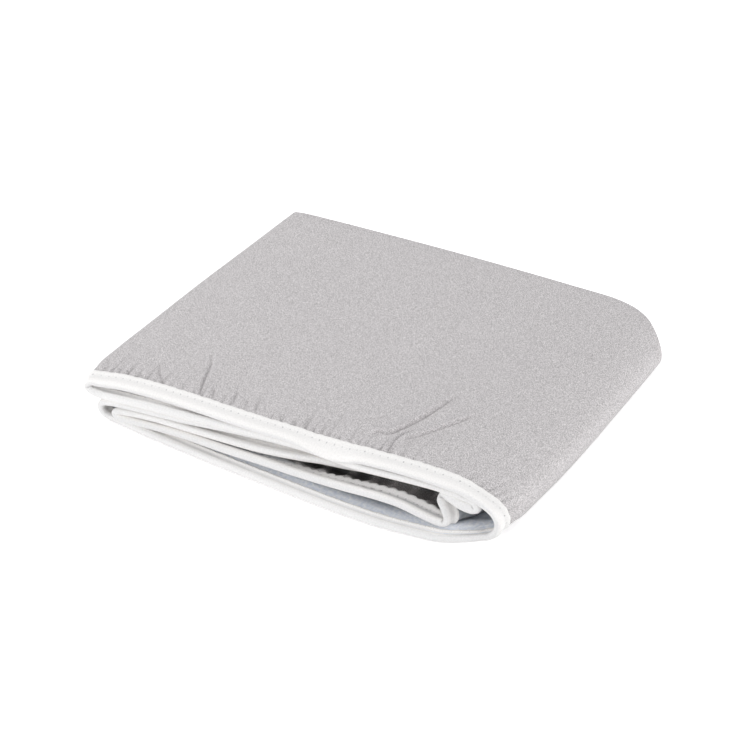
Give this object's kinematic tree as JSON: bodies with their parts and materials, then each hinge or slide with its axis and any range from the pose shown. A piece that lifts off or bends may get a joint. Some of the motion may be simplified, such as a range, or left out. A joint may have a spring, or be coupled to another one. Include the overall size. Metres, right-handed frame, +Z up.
{
  "type": "ironing pad",
  "caption": "Padded ironing cover of coated cotton over felt with a bound, stitched rim, flattened and letter-folded into a flat rectangular stack.",
  "frame": {"origin": "on the ground, under the middle of the bounding box of the folded pad", "axes": "+X along the front to the right, where the pad wraps round in a roomy fold; the bound rim faces -Y; +Z up through the stacked plies"},
  "size_m": [0.3541, 0.3182, 0.0422],
  "materials": {
    "coated_cotton": "metal-coated woven cotton, silver grey, soft sheen with fine sparkle",
    "felt": "needle felt, pale blue-white, matt and slightly hairy",
    "binding_tape": "white woven bias tape, matt",
    "sewing_thread": "white spun sewing thread"
  },
  "bodies": {
    "root": {"face_cloth": "coated_cotton", "felt_padding": "felt", "edge_binding": "binding_tape", "needle_thread": "sewing_thread", "bobbin_thread": "sewing_thread"}
  },
  "joints": []
}
